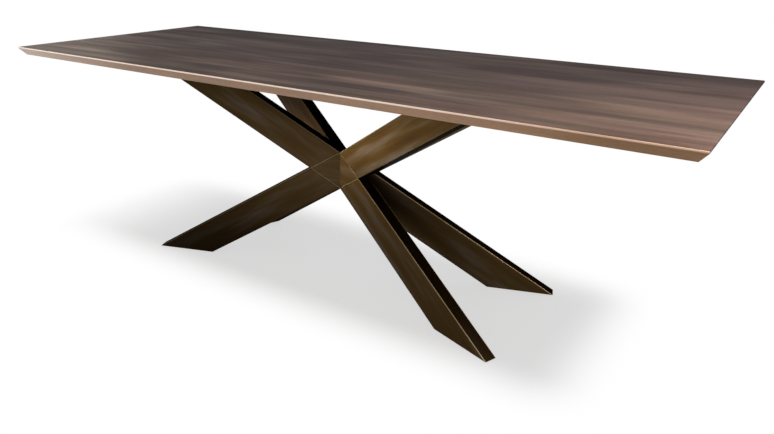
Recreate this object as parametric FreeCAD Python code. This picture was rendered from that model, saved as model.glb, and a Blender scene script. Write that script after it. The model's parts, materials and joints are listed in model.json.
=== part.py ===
# Dining table: an undercut solid walnut top, glued up from boards, on a welded base of eight
# crossing box-section arms that meet in a hollow hub. Millimetres, +Z up, the origin on the floor
# under the middle of the top, +X along the table, -Y towards the front.
import FreeCAD
import Part
import math
import os

V = FreeCAD.Vector
ORIGIN = V(0, 0, 0)
Y_AXIS = V(0, 1, 0)
Z_AXIS = V(0, 0, 1)

# Overall sizes
TOP_LENGTH = 2400.0
TOP_WIDTH = 900.0
TABLE_HEIGHT = 760.0

# Top: thickness, the upright band below the top face, the eased arris and the undercut bevel
TOP_THICKNESS = 30.0
EDGE_BAND = 5.0
ARRIS = 1.2
EDGE_UNDERCUT = 20.0
BOARD_WIDTH_SHARES = (0.105, 0.14, 0.12, 0.135, 0.115, 0.145, 0.125, 0.115)

# Biscuits: oval beech slips in the glued joints, in slots with a little room for glue
BISCUIT_LENGTH = 56.0
BISCUIT_WIDTH = 23.0
BISCUIT_THICKNESS = 4.0
GLUE_ROOM = 0.2
BISCUIT_PLACE_SHARES = (-0.88, -0.65, -0.275, -0.125, 0.125, 0.275, 0.65, 0.88)

# Stiffeners: steel channels let into the underside, across the grain, flush with it
CHANNEL_LENGTH = 720.0
CHANNEL_WIDTH = 40.0
CHANNEL_DEPTH = 12.0
CHANNEL_WALL = 2.5
CHANNEL_ROOM = 0.2
CHANNEL_NAMES = ("left", "middle", "right")
CHANNEL_PLACE_SHARES = (-0.75, 0.0, 0.75)
CHANNEL_SCREW_COUNT = 5
CHANNEL_SCREW_END = 50.0
CHANNEL_SLOT_LENGTH = 12.0
WOOD_SCREW_RADIUS = 2.25
WOOD_SCREW_LENGTH = 13.0
WOOD_SCREW_POINT = 4.0
WOOD_SCREW_HEAD_RADIUS = 4.5
WOOD_SCREW_HEAD = 2.8

# Base: eight arms of one box section, four up and four down, in two crossing upright frames
ARM_WIDTH = 115.0
ARM_THICKNESS = 42.0
ARM_WALL = 3.0
ARM_EDGE_RADIUS = 2.0
ARM_SLOPE = 31.0
FRAME_ANGLE = 19.5
HUB_HEIGHT = 380.0
SEAM_CHAMFER = 1.5

# Mounting plates welded to the upper arms, and the machine screws into inserts in the top
PLATE_LENGTH = 300.0
PLATE_WIDTH = 120.0
PLATE_THICKNESS = 6.0
PLATE_CORNER_RADIUS = 15.0
PLATE_HOLE_SPACING_LENGTH = 180.0
PLATE_HOLE_SPACING_WIDTH = 84.0
PLATE_SLOT_LENGTH = 15.0
SCREW_RADIUS = 4.0
SCREW_GRIP = 15.0
SCREW_HEAD_RADIUS = 7.0
SCREW_HEAD = 4.4
SCREW_HEAD_FLAT_RADIUS = 3.6
SCREW_HEAD_BULGE_SHARE = 0.8
SCREW_SOCKET_FLATS = 5.0
SCREW_SOCKET_DEPTH = 2.5
WASHER_RADIUS = 10.0
WASHER_THICKNESS = 1.6
INSERT_RADIUS = 6.0
INSERT_LENGTH = 16.0
HOLE_ROOM = 0.5
FIT_ROOM = 0.05

# Feet: a plate set up inside the arm's end, a weld nut on it and a screwed glide below
FOOT_PLATE_THICKNESS = 5.0
FOOT_RECESS = 11.0
GLIDE_PROUD = 3.0
PAD_RADIUS = 16.0
PAD_HEIGHT = 9.0
PAD_EDGE = 1.5
STEM_RADIUS = 4.0
STEM_LENGTH = 38.0
STEM_SEAT = 4.0
COLLAR_FLATS = 13.0
NUT_FLATS = 13.0
NUT_HEIGHT = 6.5

# How far every cutting tool runs past what it cuts
OVERRUN = 2.0

HEX_SIDES = 6

# Worked out from the sizes above
SLOPE = math.radians(ARM_SLOPE)
PLAN = math.radians(FRAME_ANGLE)
TOP_UNDERSIDE = TABLE_HEIGHT - TOP_THICKNESS
ARM_TOP = TOP_UNDERSIDE - PLATE_THICKNESS
ARM_BOTTOM = GLIDE_PROUD
ARM_HALF_RISE = ARM_WIDTH / 2 / math.cos(SLOPE)
# the arms' edges meet on the upright line where the two front faces meet
VALLEY_REACH = ARM_THICKNESS / 2 * math.tan(PLAN)
CROSSING_RISE = VALLEY_REACH * math.tan(SLOPE)
HUB_HALF_HEIGHT = ARM_HALF_RISE + CROSSING_RISE
HUB_HALF_LENGTH = HUB_HALF_HEIGHT / math.tan(SLOPE)
PLATE_REACH = (ARM_TOP - HUB_HEIGHT + CROSSING_RISE) / math.tan(SLOPE)
FOOT_PLATE_BOTTOM = ARM_BOTTOM + FOOT_RECESS
FOOT_PLATE_TOP = FOOT_PLATE_BOTTOM + FOOT_PLATE_THICKNESS
GLIDE_REACH = (HUB_HEIGHT + CROSSING_RISE - FOOT_PLATE_TOP) / math.tan(SLOPE)
COLLAR_HEIGHT = FOOT_PLATE_BOTTOM - PAD_HEIGHT
SPAN = TOP_LENGTH + TOP_WIDTH + TABLE_HEIGHT

CORNERS = {
    "front_left": (-1, -1),
    "front_right": (1, -1),
    "back_left": (-1, 1),
    "back_right": (1, 1),
}


# Shapes used by several pieces

def box_between(low, high):
    size = high - low
    return Part.makeBox(size.x, size.y, size.z, low)


def cylinder_up(radius, height, foot):
    return Part.makeCylinder(radius, height, foot, Z_AXIS)


def hexagon_up(flats, height, foot):
    corner_radius = flats / 2 / math.cos(math.pi / HEX_SIDES)
    points = []
    for side in range(HEX_SIDES):
        angle = 2 * math.pi * side / HEX_SIDES
        points.append(foot + V(corner_radius * math.cos(angle), corner_radius * math.sin(angle), 0))
    return Part.Face(Part.makePolygon(points + points[:1])).extrude(V(0, 0, height))


def slot_up(half_width, length, height, foot):
    # an upright slot with round ends, long along Y
    straight = length / 2 - half_width
    bar = box_between(foot - V(half_width, straight, 0), foot + V(half_width, straight, height))
    ends = [cylinder_up(half_width, height, foot + V(0, side * straight, 0)) for side in (-1, 1)]
    return bar.fuse(ends).removeSplitter()


def turned_to(shape, corner):
    side_x, side_y = CORNERS[corner]
    angle = math.degrees(math.atan2(side_y * math.sin(PLAN), side_x * math.cos(PLAN)))
    turned = shape.copy()
    turned.rotate(ORIGIN, Z_AXIS, angle)
    return turned


def point_turned_to(point, corner):
    return turned_to(Part.Vertex(point), corner).Point


def half_space(height, slope, above):
    # everything above, or below, a plane that crosses the hub's axis at this height
    # and rises along +X at this slope
    block = Part.makeBox(2 * SPAN, 2 * SPAN, SPAN, V(-SPAN, -SPAN, 0 if above else -SPAN))
    block.rotate(ORIGIN, Y_AXIS, -slope)
    block.translate(V(0, 0, height))
    return block


def quadrant(corner):
    side_x, side_y = CORNERS[corner]
    low = V(min(0, side_x * SPAN), min(0, side_y * SPAN), -SPAN)
    high = V(max(0, side_x * SPAN), max(0, side_y * SPAN), SPAN)
    return box_between(low, high)


# Base

def sloping_bar(width, thickness, edge_radius, upper):
    # a straight bar from behind the hub's axis outwards along +X, sloping up or down
    length = 2 * HUB_HALF_LENGTH + TABLE_HEIGHT / math.sin(SLOPE)
    bar = Part.makeBox(length, thickness, width, V(-HUB_HALF_LENGTH, -thickness / 2, -width / 2))
    if edge_radius:
        long_edges = [e for e in bar.Edges if abs(e.tangentAt(e.FirstParameter).x) > 0.5]
        bar = bar.makeFillet(edge_radius, long_edges)
    bar.rotate(ORIGIN, Y_AXIS, -ARM_SLOPE if upper else ARM_SLOPE)
    bar.translate(V(0, 0, HUB_HEIGHT + (-CROSSING_RISE if upper else CROSSING_RISE)))
    return bar


def arm_hollow(upper):
    return sloping_bar(ARM_WIDTH - 2 * ARM_WALL, ARM_THICKNESS - 2 * ARM_WALL, 0, upper)


def make_upper_arm(corner):
    arm = sloping_bar(ARM_WIDTH, ARM_THICKNESS, ARM_EDGE_RADIUS, True)
    arm = arm.cut(half_space(HUB_HEIGHT + HUB_HALF_HEIGHT, -ARM_SLOPE, False))
    arm = arm.cut(half_space(ARM_TOP, 0, True))
    arm = arm.cut(arm_hollow(True))
    return turned_to(arm, corner).common(quadrant(corner))


def make_lower_arm(corner):
    arm = sloping_bar(ARM_WIDTH, ARM_THICKNESS, ARM_EDGE_RADIUS, False)
    arm = arm.cut(half_space(HUB_HEIGHT - HUB_HALF_HEIGHT, ARM_SLOPE, True))
    arm = arm.cut(half_space(ARM_BOTTOM, 0, False))
    arm = arm.cut(arm_hollow(False))
    return turned_to(arm, corner).common(quadrant(corner))


def make_hub():
    # two upright diamonds, one in each frame, that cross on the axis, mitred like the arms and hollow
    outline = [
        V(-HUB_HALF_LENGTH, -ARM_THICKNESS / 2, HUB_HEIGHT),
        V(0, -ARM_THICKNESS / 2, HUB_HEIGHT - HUB_HALF_HEIGHT),
        V(HUB_HALF_LENGTH, -ARM_THICKNESS / 2, HUB_HEIGHT),
        V(0, -ARM_THICKNESS / 2, HUB_HEIGHT + HUB_HALF_HEIGHT),
    ]
    face = Part.Face(Part.makePolygon(outline + outline[:1]))
    diamond = face.extrude(V(0, ARM_THICKNESS, 0))
    rims = [e for e in diamond.Edges if abs(e.tangentAt(e.FirstParameter).y) < 0.5]
    diamond = diamond.makeChamfer(SEAM_CHAMFER, rims)
    quarters = []
    for corner in CORNERS:
        hollows = [turned_to(arm_hollow(upper), corner) for upper in (True, False)]
        quarters.append(turned_to(diamond, corner).common(quadrant(corner)).cut(hollows))
    return quarters[0].fuse(quarters[1:]).removeSplitter()


def plate_hole_places():
    places = []
    for corner in CORNERS:
        for end in (-1, 1):
            for side in (-1, 1):
                along = PLATE_REACH + end * PLATE_HOLE_SPACING_LENGTH / 2
                place = V(along, side * PLATE_HOLE_SPACING_WIDTH / 2, 0)
                places.append((corner, point_turned_to(place, corner)))
    return places


def make_mounting_plate(corner):
    low = V(PLATE_REACH - PLATE_LENGTH / 2, -PLATE_WIDTH / 2, ARM_TOP)
    high = V(PLATE_REACH + PLATE_LENGTH / 2, PLATE_WIDTH / 2, TOP_UNDERSIDE)
    plate = box_between(low, high)
    corners = [e for e in plate.Edges if abs(e.tangentAt(e.FirstParameter).z) > 0.5]
    plate = turned_to(plate.makeFillet(PLATE_CORNER_RADIUS, corners), corner)
    slots = []
    for owner, place in plate_hole_places():
        if owner == corner:
            foot = V(place.x, place.y, ARM_TOP - OVERRUN)
            slots.append(slot_up(SCREW_RADIUS + HOLE_ROOM, PLATE_SLOT_LENGTH,
                                 PLATE_THICKNESS + 2 * OVERRUN, foot))
    return plate.cut(slots)


def make_plate_screw(place):
    # a button-head machine screw, driven up from below
    seat = ARM_TOP - WASHER_THICKNESS
    crown_slope = SCREW_HEAD_RADIUS - SCREW_HEAD_FLAT_RADIUS
    bulge_radius = SCREW_HEAD_FLAT_RADIUS + SCREW_HEAD_BULGE_SHARE * crown_slope
    crown = V(0, 0, seat - SCREW_HEAD)
    flat = V(SCREW_HEAD_FLAT_RADIUS, 0, seat - SCREW_HEAD)
    bulge = V(bulge_radius, 0, seat - SCREW_HEAD / 2)
    rim = V(SCREW_HEAD_RADIUS, 0, seat)
    middle = V(0, 0, seat)
    round_edge = Part.Arc(flat, bulge, rim).toShape()
    straight_edges = [Part.makeLine(rim, middle), Part.makeLine(middle, crown)]
    profile = Part.Wire([Part.makeLine(crown, flat), round_edge] + straight_edges)
    head = Part.Face(profile).revolve(ORIGIN, Z_AXIS, 360)
    shank = cylinder_up(SCREW_RADIUS, WASHER_THICKNESS + PLATE_THICKNESS + SCREW_GRIP, V(0, 0, seat))
    socket = hexagon_up(SCREW_SOCKET_FLATS, SCREW_SOCKET_DEPTH + OVERRUN,
                        V(0, 0, seat - SCREW_HEAD - OVERRUN))
    screw = head.fuse(shank).cut(socket)
    screw.translate(place)
    return screw


def make_plate_washer(place):
    foot = V(place.x, place.y, ARM_TOP - WASHER_THICKNESS)
    disc = cylinder_up(WASHER_RADIUS, WASHER_THICKNESS, foot)
    return disc.cut(cylinder_up(SCREW_RADIUS + HOLE_ROOM, WASHER_THICKNESS + 2 * OVERRUN,
                                foot - V(0, 0, OVERRUN)))


def make_insert(place):
    foot = V(place.x, place.y, TOP_UNDERSIDE)
    body = cylinder_up(INSERT_RADIUS, INSERT_LENGTH, foot)
    return body.cut(cylinder_up(SCREW_RADIUS + FIT_ROOM, INSERT_LENGTH + 2 * OVERRUN,
                                foot - V(0, 0, OVERRUN)))


# Feet

def make_foot_plate(corner):
    slab = box_between(V(-SPAN, -SPAN, FOOT_PLATE_BOTTOM), V(SPAN, SPAN, FOOT_PLATE_TOP))
    plate = arm_hollow(False).common(slab)
    hole = cylinder_up(STEM_RADIUS + HOLE_ROOM, FOOT_PLATE_THICKNESS + 2 * OVERRUN,
                       V(GLIDE_REACH, 0, FOOT_PLATE_BOTTOM - OVERRUN))
    return turned_to(plate.cut(hole), corner)


def make_foot_nut(corner):
    foot = V(GLIDE_REACH, 0, FOOT_PLATE_TOP)
    nut = hexagon_up(NUT_FLATS, NUT_HEIGHT, foot)
    bore = cylinder_up(STEM_RADIUS + FIT_ROOM, NUT_HEIGHT + 2 * OVERRUN, foot - V(0, 0, OVERRUN))
    return turned_to(nut.cut(bore), corner)


def make_glide_pad(corner):
    foot = V(GLIDE_REACH, 0, 0)
    pad = cylinder_up(PAD_RADIUS, PAD_HEIGHT, foot)
    rims = [e for e in pad.Edges if e.Closed]
    pad = pad.makeFillet(PAD_EDGE, rims)
    seat = cylinder_up(STEM_RADIUS + FIT_ROOM, STEM_SEAT + OVERRUN, foot + V(0, 0, PAD_HEIGHT - STEM_SEAT))
    return turned_to(pad.cut(seat), corner)


def make_glide_stem(corner):
    foot = V(GLIDE_REACH, 0, PAD_HEIGHT - STEM_SEAT)
    stem = cylinder_up(STEM_RADIUS, STEM_LENGTH, foot)
    collar = hexagon_up(COLLAR_FLATS, COLLAR_HEIGHT, V(GLIDE_REACH, 0, PAD_HEIGHT))
    return turned_to(stem.fuse(collar), corner)


# Top

def edge_outline(half_width):
    # the section of the top, from one edge to the other: band, eased arris and undercut bevel
    half_section = [
        (half_width - ARRIS, TABLE_HEIGHT),
        (half_width, TABLE_HEIGHT - ARRIS),
        (half_width, TABLE_HEIGHT - EDGE_BAND),
        (half_width - EDGE_UNDERCUT, TOP_UNDERSIDE),
    ]
    return half_section + [(-across, height) for across, height in reversed(half_section)]


def make_top_blank():
    along = [V(-TOP_LENGTH / 2, across, height) for across, height in edge_outline(TOP_WIDTH / 2)]
    across = [V(reach, -TOP_WIDTH / 2, height) for reach, height in edge_outline(TOP_LENGTH / 2)]
    long_bar = Part.Face(Part.makePolygon(along + along[:1])).extrude(V(TOP_LENGTH, 0, 0))
    wide_bar = Part.Face(Part.makePolygon(across + across[:1])).extrude(V(0, TOP_WIDTH, 0))
    return long_bar.common(wide_bar)


def board_joints():
    # where each board starts and ends across the table, from the front
    edges = [-TOP_WIDTH / 2]
    for share in BOARD_WIDTH_SHARES:
        edges.append(edges[-1] + share * TOP_WIDTH)
    return edges


def make_biscuit(place, room):
    # an oval slip: two arcs that meet at its points, lying flat in the middle of the top
    half_length = BISCUIT_LENGTH / 2 + room
    half_width = BISCUIT_WIDTH / 2 + room
    thickness = BISCUIT_THICKNESS + 2 * room
    ends = [V(-half_length, 0, 0), V(half_length, 0, 0)]
    sides = [Part.Arc(ends[0], V(0, side * half_width, 0), ends[1]).toShape() for side in (-1, 1)]
    slip = Part.Face(Part.Wire(sides)).extrude(V(0, 0, thickness))
    slip.translate(place - V(0, 0, thickness / 2))
    return slip


def biscuit_places(joint):
    height = TABLE_HEIGHT - TOP_THICKNESS / 2
    return [V(share * TOP_LENGTH / 2, joint, height) for share in BISCUIT_PLACE_SHARES]


def channel_box(place_share, room):
    reach = place_share * TOP_LENGTH / 2
    low = V(reach - CHANNEL_WIDTH / 2 - room, -CHANNEL_LENGTH / 2 - room, TOP_UNDERSIDE)
    high = V(reach + CHANNEL_WIDTH / 2 + room, CHANNEL_LENGTH / 2 + room, TOP_UNDERSIDE + CHANNEL_DEPTH)
    return low, high


def channel_screw_places(place_share):
    reach = place_share * TOP_LENGTH / 2
    first = -CHANNEL_LENGTH / 2 + CHANNEL_SCREW_END
    step = (CHANNEL_LENGTH - 2 * CHANNEL_SCREW_END) / (CHANNEL_SCREW_COUNT - 1)
    return [V(reach, first + step * n, 0) for n in range(CHANNEL_SCREW_COUNT)]


def make_channel(place_share):
    low, high = channel_box(place_share, 0)
    channel = box_between(low, high)
    hollow_low = low + V(CHANNEL_WALL, -OVERRUN, -OVERRUN)
    hollow_high = high + V(-CHANNEL_WALL, OVERRUN, -CHANNEL_WALL)
    hollow = box_between(hollow_low, hollow_high)
    slots = []
    for place in channel_screw_places(place_share):
        foot = V(place.x, place.y, high.z - CHANNEL_WALL - OVERRUN)
        slots.append(slot_up(WOOD_SCREW_RADIUS + HOLE_ROOM, CHANNEL_SLOT_LENGTH,
                             CHANNEL_WALL + 2 * OVERRUN, foot))
    return channel.cut([hollow] + slots)


def make_wood_screw(place, room):
    # a pan-head screw up through the channel's web; with room it is the hole that the screw makes
    seat = TOP_UNDERSIDE + CHANNEL_DEPTH - CHANNEL_WALL
    shank_top = seat + CHANNEL_WALL + WOOD_SCREW_LENGTH - WOOD_SCREW_POINT
    radius = WOOD_SCREW_RADIUS + room
    outline = [
        V(0, 0, seat - WOOD_SCREW_HEAD),
        V(WOOD_SCREW_HEAD_RADIUS - WOOD_SCREW_HEAD / 2, 0, seat - WOOD_SCREW_HEAD),
        V(WOOD_SCREW_HEAD_RADIUS, 0, seat - WOOD_SCREW_HEAD / 2),
        V(WOOD_SCREW_HEAD_RADIUS, 0, seat),
        V(radius, 0, seat),
        V(radius, 0, shank_top),
        V(0, 0, shank_top + WOOD_SCREW_POINT + room),
    ]
    screw = Part.Face(Part.makePolygon(outline + outline[:1])).revolve(ORIGIN, Z_AXIS, 360)
    screw.translate(place)
    return screw


def top_cuts():
    # all that is cut out of the boards: biscuit slots, channel grooves, screw and insert holes
    cuts = []
    for joint in board_joints()[1:-1]:
        cuts += [make_biscuit(place, GLUE_ROOM) for place in biscuit_places(joint)]
    for share in CHANNEL_PLACE_SHARES:
        low, high = channel_box(share, CHANNEL_ROOM)
        cuts.append(box_between(low - V(0, 0, OVERRUN), high))
        cuts += [make_wood_screw(place, FIT_ROOM) for place in channel_screw_places(share)]
    for _, place in plate_hole_places():
        foot = V(place.x, place.y, TOP_UNDERSIDE - OVERRUN)
        cuts.append(cylinder_up(INSERT_RADIUS + FIT_ROOM, INSERT_LENGTH + HOLE_ROOM + OVERRUN, foot))
    return cuts


def make_boards():
    blank = make_top_blank()
    cuts = top_cuts()
    joints = board_joints()
    boards = []
    for front, back in zip(joints, joints[1:]):
        strip = box_between(V(-SPAN, front, 0), V(SPAN, back, SPAN))
        board = blank.common(strip)
        near = [cut for cut in cuts if cut.BoundBox.intersect(board.BoundBox)]
        boards.append(board.cut(near))
    return boards


# Every node of the table

def make_nodes():
    nodes = {}
    for number, board in enumerate(make_boards(), start=1):
        nodes[f"top_board_{number}"] = [board]
    nodes["board_biscuits"] = [
        make_biscuit(place, 0) for joint in board_joints()[1:-1] for place in biscuit_places(joint)
    ]
    for side, share in zip(CHANNEL_NAMES, CHANNEL_PLACE_SHARES):
        nodes[f"stiffener_channel_{side}"] = [make_channel(share)]
    nodes["channel_screws"] = [
        make_wood_screw(place, 0)
        for share in CHANNEL_PLACE_SHARES
        for place in channel_screw_places(share)
    ]
    places = [place for _, place in plate_hole_places()]
    nodes["threaded_inserts"] = [make_insert(place) for place in places]
    nodes["plate_screws"] = [make_plate_screw(place) for place in places]
    nodes["plate_washers"] = [make_plate_washer(place) for place in places]
    nodes["hub"] = [make_hub()]
    for corner in CORNERS:
        nodes[f"upper_arm_{corner}"] = [make_upper_arm(corner)]
        nodes[f"lower_arm_{corner}"] = [make_lower_arm(corner)]
        nodes[f"mounting_plate_{corner}"] = [make_mounting_plate(corner)]
        nodes[f"foot_plate_{corner}"] = [make_foot_plate(corner)]
        nodes[f"glide_stem_{corner}"] = [make_glide_stem(corner)]
        nodes[f"glide_pad_{corner}"] = [make_glide_pad(corner)]
    nodes["foot_nuts"] = [make_foot_nut(corner) for corner in CORNERS]
    return nodes


def main():
    os.makedirs("parts", exist_ok=True)
    for name, pieces in make_nodes().items():
        solids = [solid for piece in pieces for solid in piece.Solids]
        shape = solids[0] if len(solids) == 1 else Part.makeCompound(solids)
        shape.exportStep(f"parts/{name}.step")
        print(name, len(solids), "solids", "valid" if shape.isValid() else "not valid")


main()
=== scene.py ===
import json
import math

import bmesh
import bpy
from mathutils import Matrix, Vector

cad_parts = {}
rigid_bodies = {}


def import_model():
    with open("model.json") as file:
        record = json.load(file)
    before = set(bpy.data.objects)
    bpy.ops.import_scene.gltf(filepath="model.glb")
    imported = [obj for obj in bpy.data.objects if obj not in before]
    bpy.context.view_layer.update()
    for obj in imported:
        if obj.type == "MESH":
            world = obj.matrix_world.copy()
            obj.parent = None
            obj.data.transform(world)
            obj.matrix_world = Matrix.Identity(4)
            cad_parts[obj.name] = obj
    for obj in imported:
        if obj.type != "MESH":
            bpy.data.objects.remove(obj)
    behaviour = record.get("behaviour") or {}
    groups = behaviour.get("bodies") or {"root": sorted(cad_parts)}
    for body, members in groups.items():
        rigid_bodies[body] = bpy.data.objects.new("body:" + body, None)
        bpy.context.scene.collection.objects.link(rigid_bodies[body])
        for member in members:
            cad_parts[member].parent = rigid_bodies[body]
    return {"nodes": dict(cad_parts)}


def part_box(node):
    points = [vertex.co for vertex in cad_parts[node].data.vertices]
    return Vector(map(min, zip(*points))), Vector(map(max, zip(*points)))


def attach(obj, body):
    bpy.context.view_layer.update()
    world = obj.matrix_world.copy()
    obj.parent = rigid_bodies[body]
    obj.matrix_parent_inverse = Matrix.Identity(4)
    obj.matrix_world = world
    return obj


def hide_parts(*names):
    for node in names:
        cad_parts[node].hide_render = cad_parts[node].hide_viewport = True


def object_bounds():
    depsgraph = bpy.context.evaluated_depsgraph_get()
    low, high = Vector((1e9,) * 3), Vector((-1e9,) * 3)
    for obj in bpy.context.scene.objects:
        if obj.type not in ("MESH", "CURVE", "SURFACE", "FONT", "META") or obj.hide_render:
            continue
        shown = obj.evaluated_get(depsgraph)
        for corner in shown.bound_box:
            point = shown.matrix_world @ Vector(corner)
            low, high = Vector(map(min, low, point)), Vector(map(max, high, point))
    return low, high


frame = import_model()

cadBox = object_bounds()
nodes = frame["nodes"]
corners = ("front_left", "front_right", "back_left", "back_right")
print("frame loaded:", len(nodes), "nodes")


def toLinear(hexColour):
    # an sRGB hex value as the linear colour that the shaders take
    channels = [int(hexColour[i:i + 2], 16) / 255 for i in (1, 3, 5)]
    return tuple(c / 12.92 if c <= 0.04045 else ((c + 0.055) / 1.055) ** 2.4 for c in channels) + (1.0,)


def addNode(tree, kind, settings=None, inputs=()):
    # adds one node with its settings and ramp stops, or just its operation, then sets its inputs, by name
    # or in order; a socket or a node's first output is linked, and a list is several links to one input
    node = tree.nodes.new(kind)
    if isinstance(settings, str):
        settings = {"operation": settings}
    for name, value in (settings or {}).items():
        if name == "stops":
            ramp = node.color_ramp
            while len(ramp.elements) < len(value):
                ramp.elements.new(0.5)
            for element, (place, colour) in zip(ramp.elements, value):
                element.position = place
                element.color = toLinear(colour)
        else:
            setattr(node, name, value)
    for key, value in inputs.items() if isinstance(inputs, dict) else enumerate(inputs):
        for item in value if isinstance(value, list) else [value]:
            if isinstance(item, bpy.types.Node):
                item = next(socket for socket in item.outputs if socket.enabled)
            if isinstance(item, bpy.types.NodeSocket):
                tree.links.new(item, node.inputs[key])
            else:
                node.inputs[key].default_value = item
    return node


def newMaterial(name):
    material = bpy.data.materials.new(name)
    material.use_nodes = True
    material.node_tree.nodes.clear()
    return material, material.node_tree


def giveMaterial(material, *starts):
    # dresses every CAD node whose name begins so
    for name, node in nodes.items():
        if name.startswith(starts):
            node.data.materials.clear()
            node.data.materials.append(material)


def stretchedNoise(tree, place, along, across, detail):
    # a cloudy pattern drawn out along its first direction, its sizes in metres
    drawnOut = addNode(tree, "ShaderNodeVectorMath", "DIVIDE", [place, (along, across, across)])
    return addNode(tree, "ShaderNodeTexNoise", None, {"Vector": drawnOut, "Scale": 1.0, "Detail": detail})


# camera: where the photograph was taken from, found from the corners of the top, the hub and the feet
cameraView = {
    "place": (1.3773, -1.8717, 1.1335),
    "yaw": -34.85, "pitch": 17.99, "roll": -0.23,
    "focalPixels": 691.9, "middlePixels": (360.9, 169.3), "framePixels": (774, 434),
    "sensorMm": 36.0, "nearest": 0.02,
}


def makeCamera(view):
    yaw, pitch, roll = (math.radians(view[k]) for k in ("yaw", "pitch", "roll"))
    forward = Vector((math.sin(yaw) * math.cos(pitch), math.cos(yaw) * math.cos(pitch), -math.sin(pitch)))
    right = Vector((math.cos(yaw), -math.sin(yaw), 0))
    down = forward.cross(right)
    rolledRight = right * math.cos(roll) + down * math.sin(roll)
    rolledDown = down * math.cos(roll) - right * math.sin(roll)
    data = bpy.data.cameras.new("camera")
    camera = bpy.data.objects.new("camera", data)
    bpy.context.scene.collection.objects.link(camera)
    turn = Matrix((rolledRight, -rolledDown, -forward)).transposed()
    camera.matrix_world = Matrix.Translation(view["place"]) @ turn.to_4x4()
    wide, high = view["framePixels"]
    data.sensor_fit = "HORIZONTAL"
    data.sensor_width = view["sensorMm"]
    data.lens = view["focalPixels"] / wide * view["sensorMm"]
    data.shift_x = (wide / 2 - view["middlePixels"][0]) / wide
    data.shift_y = (view["middlePixels"][1] - high / 2) / wide
    data.clip_start = view["nearest"]
    bpy.context.scene.camera = camera


makeCamera(cameraView)
print("camera placed")


# studio: a white sweep of paper with the top's soft shadow on it, a soft overhead light, small soft lights
# low on both sides and at both ends, and a long low one that reaches under the front edge
studio = {
    "worldColour": "#ffffff", "worldLight": 0.20,
    "floorHalf": 60.0, "floorDrop": 0.0004, "floorColour": "#cfcfcf",
    "floorLift": 0.615, "mirrorLift": 0.25,        # glow of the paper to the eye, and seen in the metal
    # where the shaded paper starts to fade and where it is white, along the table and across it
    "shadeEdges": (("X", -0.75, -1.40), ("X", 0.78, 1.05), ("Y", -0.20, -0.50), ("Y", 0.20, 0.56)),
    "mirrorReach": 2.0,                            # how much wider the shade is seen in the metal
    "sun": {"from": (0.20, -0.05, 1.0), "angle": 27.0, "strength": 2.6},
    "lamps": {
        "overhead": {"place": (0.0, -1.2, 2.9), "aim": (0.0, 0.0, 0.76),
                     "size": (3.0, 1.2), "watts": 26.0},
        "leftLow": {"place": (-1.5, -0.60, 0.05), "aim": (0.2, -0.1, 0.46),
                    "size": (0.25, 0.12), "watts": 5.0},
        "leftEnd": {"place": (-1.80, 0.15, 1.03), "aim": (-1.1, 0.05, 0.76),
                    "size": (0.5, 0.5), "watts": 2.5, "colour": "#fff0e0"},
        "rightEnd": {"place": (1.65, -0.4, 1.38), "aim": (1.0, -0.1, 0.76),
                     "size": (0.5, 0.5), "watts": 20.0, "colour": "#ffefe2"},
        "rightLow": {"place": (1.2, -1.5, 0.15), "aim": (0.4, 0.0, 0.3),
                     "size": (0.5, 0.3), "watts": 5.0},
        "frontLow": {"place": (-0.9, -1.9, 0.3), "aim": (-0.6, -0.4, 0.75),
                     "size": (2.2, 0.5), "watts": 20.0, "mirrored": False},
    },
}


def makeWorld(values):
    world = bpy.data.worlds.new("studio")
    bpy.context.scene.world = world
    world.use_nodes = True
    tree = world.node_tree
    tree.nodes.clear()
    rays = addNode(tree, "ShaderNodeLightPath").outputs
    seen = addNode(tree, "ShaderNodeMath", "MAXIMUM", [rays["Is Camera Ray"], rays["Is Glossy Ray"]])
    seen = addNode(tree, "ShaderNodeMath", "MAXIMUM", [seen, rays["Is Transmission Ray"]])
    white = toLinear(values["worldColour"])
    light = addNode(tree, "ShaderNodeBackground", None, {"Color": white, "Strength": values["worldLight"]})
    shown = addNode(tree, "ShaderNodeBackground", None, {"Color": white, "Strength": 1.0})
    mixed = addNode(tree, "ShaderNodeMixShader", None, [seen, light, shown])
    addNode(tree, "ShaderNodeOutputWorld", None, {"Surface": mixed})


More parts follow.
